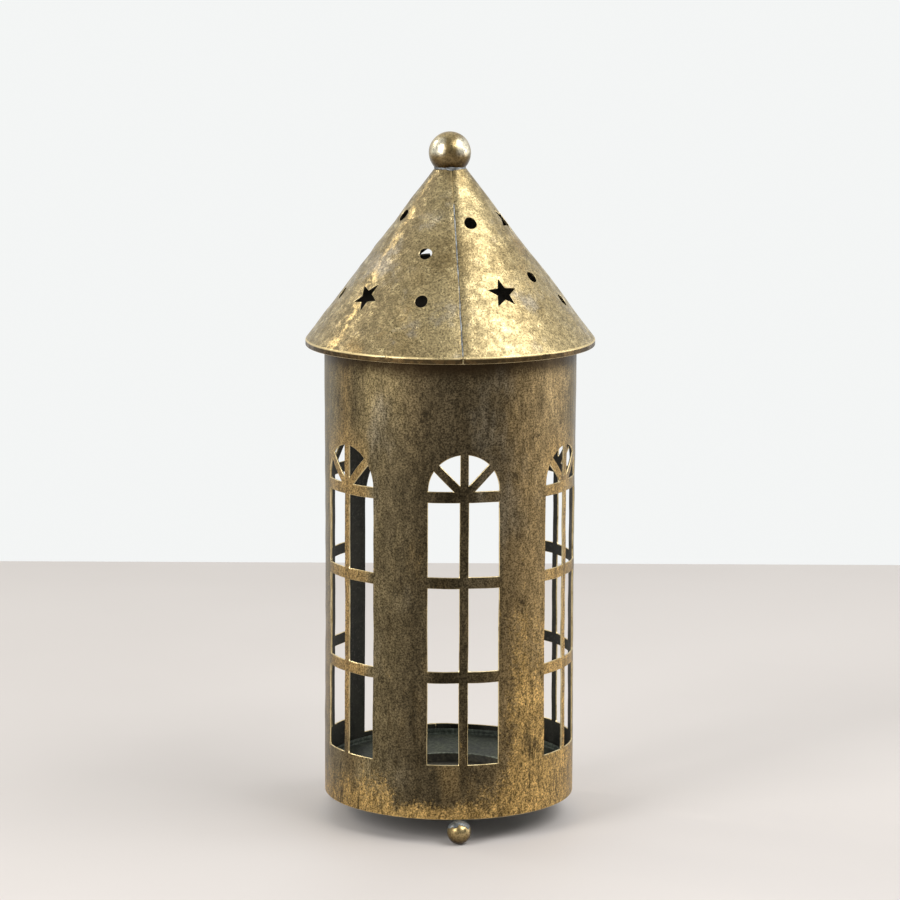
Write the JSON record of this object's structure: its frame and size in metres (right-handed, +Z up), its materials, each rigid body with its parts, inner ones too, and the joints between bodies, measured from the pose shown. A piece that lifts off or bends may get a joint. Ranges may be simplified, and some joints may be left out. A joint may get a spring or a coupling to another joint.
{
  "type": "candle lantern",
  "caption": "Round pierced-metal candle lantern: lattice-window drum with an open doorway, conical pierced roof, ball finial and ball feet.",
  "frame": {"origin": "on the table, on the lantern's axis, at the middle of the bounding box's bottom", "axes": "+Z up along the axis; the front window over the front foot faces -Y; the doorway faces +Y"},
  "size_m": [0.138, 0.138, 0.329],
  "materials": {
    "brass_drum": "antique brown-grey patina, mottled, worn golden near the bottom edge",
    "brass_roof": "antique patina rubbed lighter and more golden, slightly hammered",
    "brass_ball": "aged polished",
    "brass_plate": "dark green-grey patina, matt",
    "solder": "dull grey soft solder"
  },
  "bodies": {
    "root": {"body_shell": "brass_drum", "body_seam_upper": "solder", "body_seam_lower": "solder", "base_plate": "brass_plate", "base_tack_1": "solder", "base_tack_2": "solder", "base_tack_3": "solder", "foot_ball_front": "brass_ball", "foot_ball_right": "brass_ball", "foot_ball_left": "brass_ball", "foot_solder_front": "solder", "foot_solder_right": "solder", "foot_solder_left": "solder", "roof_cone": "brass_roof", "roof_seam_solder": "solder", "roof_tack_1": "solder", "roof_tack_2": "solder", "roof_tack_3": "solder", "roof_tack_4": "solder", "finial_ball": "brass_ball", "finial_solder": "solder"}
  },
  "joints": []
}
